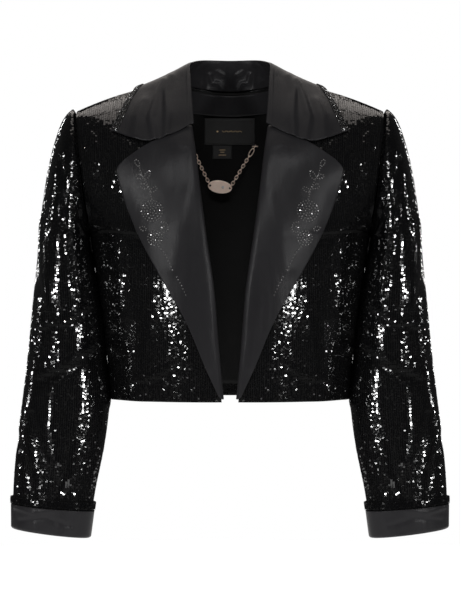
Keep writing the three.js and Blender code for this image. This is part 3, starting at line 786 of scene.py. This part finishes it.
def lapel(across, key):
    """Middle of the lapel's cloth: across from behind the edge, key from the hem to the gorge."""
    place = through([[value, 0, 0] for value in LAPEL_PLACES], key)[..., 0]
    zero = np.zeros_like(place)
    edge = front(zero, place)
    away = outward(front, zero, place)
    inward = front(zero + 0.02, place) - edge
    inward /= np.linalg.norm(inward, axis=-1, keepdims=True)
    core = edge + away * CLOTH / 2
    straight = np.clip(1 - across / (FACE_START / 2), 0, 1)[..., None]
    angle = np.pi * (np.clip((across - FACE_START / 2) / (FACE_START / 2), 0, 1) - 0.5)[..., None]
    rolled = core - inward * LAPEL_ROLL * np.cos(angle) + away * LAPEL_ROLL * np.sin(angle)
    rolled = rolled + inward * LAPEL_TURN_UNDER * straight
    outer = through([[x, 0, z] for x, z in LAPEL_OUTER], key)
    centre = (edge + outer) / 2
    centre[..., 0] -= NOTCH_BEND * np.maximum(0, key - len(LAPEL_OUTER) + 3) / 2
    face = np.clip((across - FACE_START) / (1 - FACE_START), 0, 1)
    seen = through(np.stack([edge, centre, outer], axis=-2), 2 * face)
    point, normal = on_front(seen[..., 0], seen[..., 2])
    gap = np.linalg.norm(point - edge, axis=-1)
    lift = LAPEL_LIFT * np.exp(-gap / LAPEL_LIFT_REACH) * (1 - np.exp(-gap / 3))
    relief = fold_relief(point, LAPEL_FOLDS) * np.clip(gap / 12, 0, 1)
    point = point + normal * (LAPEL_STAND_OFF + lift + np.maximum(relief, DEEPEST_FOLD))[..., None]
    return np.where((across < FACE_START)[..., None], rolled, point)


STONE = 1.05
STONE_LEAN = 0.2
stone_cut = bmesh.new()
bmesh.ops.create_cone(
    stone_cut, segments=7, radius1=1, radius2=0.55, depth=0.7, cap_ends=True
)
stone_cut.verts.index_update()
dark_stone, _, _ = finish_of(
    "dark_stone",
    {"Base Color": (0.19, 0.187, 0.184, 1), "Metallic": 0.5, "Roughness": 0.2, "Coat Weight": 1.0,
     "Coat Roughness": 0.04},
)


def ring_of(x, z, radius, count):
    turns = 2 * np.pi * np.arange(count) / count
    return np.column_stack([x + radius * np.cos(turns), z + radius * np.sin(turns)])


def line_of(points, gap):
    """Places at even gaps along a smooth line through the points."""
    keys = np.array([[x, 0, z] for x, z in points], float)
    fine = through(keys, np.linspace(0, len(keys) - 1, 160))
    run = run_along(fine)
    stops = np.arange(gap / 2, run[-1], gap)
    return np.column_stack([np.interp(stops, run, fine[:, i]) for i in (0, 2)])


def leaf(x, z, turn, length, width):
    """An almond outline of stones, its stalk at x and z."""
    along = np.array([math.cos(math.radians(turn)), math.sin(math.radians(turn))])
    side = np.array([-along[1], along[0]])
    stalk = np.array([x, z])
    halves = []
    for hand in (-1, 1):
        points = [
            stalk + along * length * t + side * hand * width * math.sin(math.pi * t)
            for t in (0.02, 0.25, 0.5, 0.75, 0.98)
        ]
        halves.append(line_of(points, 3.1))
    return np.concatenate(halves)


spray = np.concatenate([
    line_of([(-101, -158), (-106, -140), (-115, -124), (-119, -110)], 3.4),
    leaf(-106, -142, 155, 13, 3.0),
    leaf(-104, -147, 35, 12, 2.8),
    leaf(-112, -128, 165, 12, 2.8),
    leaf(-111, -131, 62, 14, 3.0),
    leaf(-118, -114, 120, 12, 2.6),
    ring_of(-100.6, -171.7, 3.0, 5),
    ring_of(-100.6, -171.7, 6.4, 10),
    ring_of(-100.6, -171.7, 10.0, 16),
    ring_of(-100.6, -171.7, 13.4, 22),
    line_of([(-90, -186), (-82, -188), (-80, -196), (-86, -200), (-89, -195), (-85, -192)], 3.1),
    ring_of(-96.5, -207, 2.8, 5),
    ring_of(-96.5, -207, 6.0, 10),
    ring_of(-96.5, -207, 9.4, 15),
    leaf(-107, -196, 160, 10, 2.6),
    line_of([(-93, -217), (-84, -228), (-78, -240), (-72, -252)], 4.4),
    line_of([(-70, -256), (-62, -270), (-56, -284)], 4.4),
])

point, normal = on_front(spray[:, 0], spray[:, 1])
relief = np.maximum(fold_relief(point, LAPEL_FOLDS), DEEPEST_FOLD)
above = LAPEL_STAND_OFF + CLOTH / 2 + 0.3
across = np.cross(np.array([0.0, 0.0, 1.0]), normal)
across /= np.linalg.norm(across, axis=1, keepdims=True)
upward = np.cross(normal, across)
lean = np.random.default_rng(21).normal(0, STONE_LEAN, (len(spray), 2, 1))
stone_frames = np.stack([across + normal * lean[:, 0], upward + normal * lean[:, 1], normal], axis=1)
stone_frames *= STONE
stone_centres = point + normal * (above + relief)[:, None]
for hand, mirror in SIDES:
    facing = sewn(
        f"lapel_satin_{hand}", lapel, 72, 150, -1, mirror, [satin], CLOTH,
        span=(0, 1, 0, len(LAPEL_PLACES) - 1),
    )
    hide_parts(f"lapel_{hand}")
    stones = joined(
        f"lapel_stones_{hand}", stone_cut, stone_centres, stone_frames, mirror, [dark_stone]
    )
    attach(stones, "jacket")

# ---------------------------------------------------------------- collar
# A satin collar with a stand, turned over at the fold and sewn to the neck and the lapels. The
# stand is crumpled where it bends, and rows of black beads edge the fall's outer ends.
COLLAR_ROWS = [
    # neck seam, stand, fold, middle of the fall and its outer edge, from front end to centre back
    [[-60, -74, -53.5], [-56, -77.5, -55], [-51.5, -80, -55.5], [-105, -92, -78], [-158, -73, -63]],
    [[-62, -53.5, -34.5], [-57, -58, -33], [-53, -62, -29], [-97, -68, -40], [-148, -58, -39.5]],
    [[-68, -27, -9], [-61, -31, -3.5], [-55, -32, 6], [-95, -30, -3.5], [-137.6, -31, -17]],
    [[-70.5, 1, 11.5], [-64, -2, 20], [-56, -3, 30.5], [-88.5, -1, 16.5], [-123, 0, 1.8]],
    [[-66, 28.5, 9.5], [-61.5, 26, 22], [-51.5, 22, 37.5], [-78, 32, 18], [-98, 31.5, -7.5]],
    [[-42.5, 57.5, 5.5], [-40, 54.5, 22.5], [-37, 50.5, 43], [-53, 64, 17], [-56, 63, -13]],
    [[0, 69.8, 2.3], [0, 66.5, 22], [0, 60.5, 43.5], [0, 76, 17], [0, 79.5, -16]],
]
# Creases run across the stand: place along it at the neck seam and at the outer edge, the reach
# across, half width as a part of the collar's length, and depth.
COLLAR_CREASES = [
    (0.30, 0.335, 0.0, 0.48, 0.010, -0.7), (0.43, 0.41, 0.0, 0.46, 0.012, 0.5),
    (0.50, 0.50, 0.0, 0.48, 0.012, 0.5), (0.575, 0.595, 0.05, 0.48, 0.012, 0.5),
    (0.70, 0.665, 0.0, 0.48, 0.010, -0.7), (0.34, 0.32, 0.55, 1.0, 0.020, 0.7),
    (0.42, 0.44, 0.55, 1.0, 0.018, -0.6), (0.50, 0.49, 0.55, 1.0, 0.020, 0.6),
    (0.58, 0.56, 0.55, 1.0, 0.018, -0.6), (0.66, 0.68, 0.55, 1.0, 0.020, 0.7),
]
# Folds seen from the front, as lines of x and z for one half: the fall's long soft folds on the
# front, and the crumples inside the stand.
FALL_FOLDS = [
    ([(-99, -76), (-105, -46), (-97, -14), (-90, 8)], 4.5, 2.3, -1),
    ([(-84, -72), (-82, -40), (-86, -8), (-80, 14)], 5.0, 2.3, -1),
    ([(-91, -76), (-93, -44), (-91, -10)], 5.0, -0.6, -1),
    ([(-124, -70), (-122, -44), (-114, -22)], 6.5, 1.8, -1),
    ([(-66, -56), (-68, -20), (-66, 12)], 8.0, -0.7, -1),
]
STAND_FOLDS = [
    ([(-40, 41), (-49, 30), (-56, 19)], 2.2, 1.2, 1),
    ([(-28, 25), (-25, 14), (-17, 14), (-11, 4)], 2.6, -1.3, 1),
    ([(-36, 32), (-32, 12), (-35, 2)], 3.4, 1.0, 1),
    ([(-17, 29), (-9, 25)], 2.4, -1.1, 1),
    ([(-45, 16), (-38, 9), (-31, 1)], 2.6, -1.0, 1),
    ([(-6, 34), (-7, 20), (-3, 6)], 3.6, 0.6, 1),
]
FRONT_OF_NECK = 20
INSIDE_STAND = 32
ROLL_RIDGE = (0.522, 0.012, 0.8)
CREASE_DEPTH = 1.7
STAND_END = 0.47
FALL_START = 0.53
FADE = 15
other_side = [[[-x, y, z] for x, y, z in row] for row in COLLAR_ROWS[-2::-1]]
collar_rows = np.array(COLLAR_ROWS + other_side, float)


def plain_collar(across, along):
    place = along * (len(collar_rows) - 1)
    lines = [through(collar_rows[:, i], place) for i in range(5)]
    return through(np.stack(lines, axis=-2), across * 4)


def collar(across, along):
    base = plain_collar(across, along)
    relief = np.zeros(np.shape(across))
    for seam, edge, low, high, half_width, depth in COLLAR_CREASES:
        middle = seam + (edge - seam) * across
        reach = np.clip((across - low) * 12, 0, 1) * np.clip((high - across) * 12, 0, 1)
        relief += CREASE_DEPTH * depth * reach * np.exp(-(((along - middle) / half_width) ** 2))
    half = base * np.array([-1.0, 1.0, 1.0])
    half = np.where((along <= 0.5)[..., None], base, half)
    fall = np.clip((across - FALL_START) * FADE, 0, 1)
    stand = np.clip((STAND_END - across) * FADE, 0, 1)
    relief += fall * fold_relief(half, FALL_FOLDS, FRONT_OF_NECK)
    relief -= stand * fold_relief(half, STAND_FOLDS, INSIDE_STAND)
    ridge, half_width, height = ROLL_RIDGE
    front_part = np.clip((np.abs(along - 0.5) - 0.2) * 12, 0, 1)
    relief += front_part * height * np.exp(-(((across - ridge) / half_width) ** 2))
    return base + outward(plain_collar, across, along) * relief[..., None]


collar_piece = sewn("collar_satin", collar, 100, 260, -1, False, [satin], CLOTH)
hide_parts("collar")

BEAD_RADIUS = 1.15
BEAD_ROWS = [0.992, 0.981, 0.97, 0.959]
BEADED_ALONG = [0.004, 0.25]
jet_bead, _, _ = finish_of(
    "jet_bead",
    {"Base Color": (0.01, 0.01, 0.01, 1), "Roughness": 0.2, "Specular IOR Level": 0.6,
     "Coat Weight": 1.0, "Coat Roughness": 0.05, "Coat IOR": 1.6},
)
bead_shape = bmesh.new()
bmesh.ops.create_icosphere(bead_shape, subdivisions=1, radius=1)
bead_shape.verts.index_update()
places = []
for across in BEAD_ROWS:
    along = np.linspace(*BEADED_ALONG, 600)
    line = collar(np.full(along.shape, across), along)
    run = run_along(line)
    stops = np.arange(0, run[-1], 2 * BEAD_RADIUS + 0.1)
    places.append(np.column_stack([np.full(stops.shape, across), np.interp(stops, run, along)]))
places = np.concatenate(places)
normal = outward(plain_collar, places[:, 0], places[:, 1])
centre = collar(places[:, 0], places[:, 1]) + normal * (CLOTH / 2 + BEAD_RADIUS * 0.6)
turns = np.random.default_rng(31).normal(size=(len(places), 3, 3))
frames = np.linalg.qr(turns)[0]
frames *= np.sign(np.linalg.det(frames))[:, None, None] * BEAD_RADIUS
for hand, mirror in SIDES:
    beads = joined(f"collar_beads_{hand}", bead_shape, centre, frames, mirror, [jet_bead])
    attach(beads, "jacket")

# ---------------------------------------------------------------- lining, facing and labels
# A black twill lining inside the back, a curved satin facing at its neck, a woven label and a
# size tab below it. The labels carry only a plain stitched ornament.
LINING_FACES = [-1.5, -0.5]
FACING_FACES = [-4.8, -3.8]
LABEL_FACES = [-3.6, -2.6]
LINING_PLACES = [0.235, 6.5]
LINING_HALF_SHARE = 10 / 11
FACING_PLACES = [6.25, 6.93]
FACING_HALF_SHARE = 0.3
LABEL_X = (-36.5, 35.5)
LABEL_Z = (-70, -33.5)
SIZE_TAB_X = (-25, 3)
SIZE_TAB_Z = (-89.5, -71)

lining = sewn(
    "lining", worn(back, [], sum(LINING_FACES) / 2), 110, 80, -1, False, [lining_cloth],
    LINING_FACES[1] - LINING_FACES[0], span=(-LINING_HALF_SHARE, LINING_HALF_SHARE, *LINING_PLACES),
)
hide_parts("back_lining")

neck_facing = sewn(
    "neck_facing", worn(back, [], sum(FACING_FACES) / 2), 60, 12, -1, False, [satin],
    FACING_FACES[1] - FACING_FACES[0], span=(-FACING_HALF_SHARE, FACING_HALF_SHARE, *FACING_PLACES),
)
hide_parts("back_neck_facing")

label_cloth, wire, shader = finish_of("label_cloth", {"Specular IOR Level": 0.4})
place_on_cloth = wire.on_object()
ribs = wire.node("ShaderNodeTexWave", {"bands_direction": "Z"}, {"Vector": place_on_cloth, "Scale": 700.0})
threads = wire.node("ShaderNodeTexNoise", {}, {"Vector": place_on_cloth, "Scale": 400.0})
label_colour = wire.mix(threads, grey(0.004), grey(0.013))
label_bump = wire.bump(ribs, 0.4, 0.0002)
label_colour.feed(shader, "Base Color")
(threads * 0.2 + 0.42).feed(shader, "Roughness")
label_bump.feed(shader, "Normal")
gold_thread, _, _ = finish_of(
    "gold_thread", {"Base Color": (0.42, 0.3, 0.17, 1), "Roughness": 0.4, "Metallic": 0.5}
)
stitch_shape = bmesh.new()
bmesh.ops.create_cube(stitch_shape, size=1)
bmesh.ops.bevel(
    stitch_shape, geom=stitch_shape.edges[:], offset=0.2, segments=1, profile=0.5,
    affect="EDGES", material=-1,
)
stitch_shape.verts.index_update()


def on_back(x, z, away):
    share, place = located(back, x, z, np.asarray(x, float) / 180, 5)
    return back(share, place) + outward(back, share, place) * away


def label_piece(name, node, xs, zs, columns, stitches):
    """A label with its stitches, each of x, z, length, height and turn in degrees."""
    middle = sum(LABEL_FACES) / 2
    piece = sewn(
        name, lambda a, b: on_back(a, b, middle), columns, 10, -1, False, [label_cloth],
        LABEL_FACES[1] - LABEL_FACES[0], span=(xs[1], xs[0], *zs),
    )
    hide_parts(node)
    x, z, length, height, turn = np.array(stitches, float).T
    centre = on_back(x, z, LABEL_FACES[0] - 0.12)
    face_in = np.array([0.0, -1.0, 0.0])
    turn = np.radians(turn)
    none = np.zeros(len(x))
    along = np.column_stack([np.cos(turn), none, np.sin(turn)]) * length[:, None]
    upward = np.column_stack([-np.sin(turn), none, np.cos(turn)]) * height[:, None]
    frames = np.stack([along, upward, np.broadcast_to(face_in * 0.4, along.shape)], axis=1)
    marks = joined(f"{name}_stitches", stitch_shape, centre, frames, False, [gold_thread])
    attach(marks, "jacket")


sprig = [(-10 + 3.2 * i, -51.5, 3.4, 0.7, 40 if i % 2 else -40) for i in range(9)]
label_piece("woven_label", "label", LABEL_X, LABEL_Z, 30, sprig + [(-18, -51.5, 2.4, 2.4, 45)])
bars = [(-11, -77, 9, 0.8, 0), (-11, -80, 6, 0.8, 0), (-11, -84, 11, 0.8, 0)]
label_piece("size_tab_cloth", "size_tab", SIZE_TAB_X, SIZE_TAB_Z, 14, bars)

# ---------------------------------------------------------------- hanger chain
# A fine rose gold chain hangs from two staples inside the back neck. Its links are drawn wire,
# a long clasp joins it at the wearer's left, and an oval plate with a stone hangs at its middle.
LINK_HALF_LENGTH = 3.2
LINK_HALF_WIDTH = 1.95
LINK_WIRE = 0.55
CLASP_HALF_LENGTH = 6.8
CLASP_HALF_WIDTH = 2.4
CLASP_WIRE = 0.7
LINKS_RIGHT = 13
LINKS_LEFT = 11

rose_gold, wire, shader = finish_of("rose_gold", {"Metallic": 0.4, "Specular IOR Level": 0.9})
place_on_metal = wire.on_object()
rubbed = wire.node("ShaderNodeTexNoise", {}, {"Vector": place_on_metal, "Scale": 260.0, "Detail": 4.0})
gold_colour = wire.mix(rubbed, (0.9, 0.68, 0.56, 1), (0.98, 0.8, 0.68, 1))
metal_bump = wire.bump(rubbed, 0.1, 0.0002)
gold_colour.feed(shader, "Base Color")
(rubbed * 0.18 + 0.24).feed(shader, "Roughness")
metal_bump.feed(shader, "Normal")


def middle_of(node):
    low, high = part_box(node)
    return (Vector(low) + Vector(high)) / 2


def wire_link(name, nodes, half_length, half_width, thickness, direction, flat):
    """A closed oval link of round wire, long along the chain's direction."""
    bm = bmesh.new()
    ring = bmesh.ops.create_circle(bm, segments=8, radius=thickness, cap_ends=False)["verts"]
    bmesh.ops.rotate(bm, verts=ring, cent=(0, 0, 0), matrix=Matrix.Rotation(math.radians(90), 3, "X"))
    bmesh.ops.translate(bm, verts=ring, vec=(1, 0, 0))
    bmesh.ops.spin(
        bm, geom=bm.edges[:], cent=(0, 0, 0), axis=(0, 0, 1), angle=2 * math.pi, steps=28,
        use_merge=True,
    )
    for vert in bm.verts:
        turn = math.atan2(vert.co.y, vert.co.x)
        out = math.hypot(vert.co.x, vert.co.y) - 1
        core = Vector((half_length * math.cos(turn), half_width * math.sin(turn), 0))
        away = Vector((half_width * math.cos(turn), half_length * math.sin(turn), 0)).normalized()
        vert.co = core + away * out + Vector((0, 0, vert.co.z))
    bmesh.ops.remove_doubles(bm, verts=bm.verts, dist=1e-4)
    bmesh.ops.recalc_face_normals(bm, faces=bm.faces)
    depth = Vector((0, 1, 0))
    side = direction.cross(depth)
    axes = (direction, side, -depth) if flat else (direction, depth, side)
    turned = Matrix(axes).transposed()
    place = middle_of(nodes[0])
    bmesh.ops.transform(bm, verts=bm.verts, matrix=turned.to_4x4() @ Matrix.Scale(0.001, 4))
    bmesh.ops.translate(bm, verts=bm.verts, vec=place)
    mesh = bpy.data.meshes.new(name)
    bm.to_mesh(mesh)
    bm.free()
    for face in mesh.polygons:
        face.use_smooth = True
    mesh.materials.append(rose_gold)
    piece = placed(name, mesh)
    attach(piece, "hanger_chain")
    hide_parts(*nodes)


for hand, count in (("right", LINKS_RIGHT), ("left", LINKS_LEFT)):
    first = middle_of(f"chain_link_{hand}_1")
    last = middle_of(f"chain_link_{hand}_{count}")
    direction = (last - first).normalized()
    for i in range(1, count + 1):
        wire_link(
            f"link_{hand}_{i}", [f"chain_link_{hand}_{i}"], LINK_HALF_LENGTH, LINK_HALF_WIDTH,
            LINK_WIRE, direction, i % 2 == 0,
        )
    if hand == "left":
        wire_link(
            "clasp_ring", ["chain_ring_left"], LINK_HALF_LENGTH, LINK_HALF_WIDTH, LINK_WIRE,
            direction, False,
        )
        wire_link(
            "clasp", ["chain_clasp"], CLASP_HALF_LENGTH, CLASP_HALF_WIDTH, CLASP_WIRE, direction, True
        )

for node in ("chain_plate", "chain_gem"):
    bm = bmesh.new()
    bm.from_mesh(bpy.data.objects[node].data)
    bmesh.ops.remove_doubles(bm, verts=bm.verts, dist=1e-6)
    bmesh.ops.dissolve_limit(bm, angle_limit=math.radians(2), verts=bm.verts, edges=bm.edges)
    if node == "chain_plate":
        sharp = [edge for edge in bm.edges if edge.calc_face_angle(0) > math.radians(60)]
        bmesh.ops.bevel(
            bm, geom=sharp, offset=0.00035, segments=3, profile=0.5, affect="EDGES", material=-1
        )
    mesh = bpy.data.meshes.new(f"{node}_finished")
    bm.to_mesh(mesh)
    bm.free()
    mesh.materials.append(rose_gold)
    piece = placed(f"{node}_finished", mesh)
    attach(piece, "hanger_chain")
    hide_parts(node)
    if node == "chain_gem":
        clear_stone, _, _ = finish_of(
            "clear_stone",
            {"Base Color": (0.8, 0.8, 0.82, 1), "Roughness": 0.06, "Metallic": 0.3, "Coat Weight": 1.0},
        )
        mesh.materials[0] = clear_stone

for hand in ("right", "left"):
    staple = bpy.data.objects[f"chain_staple_{hand}"]
    for slot in staple.material_slots:
        slot.material = rose_gold

for template in (sequin_shape, stone_cut, bead_shape, stitch_shape):
    template.free()
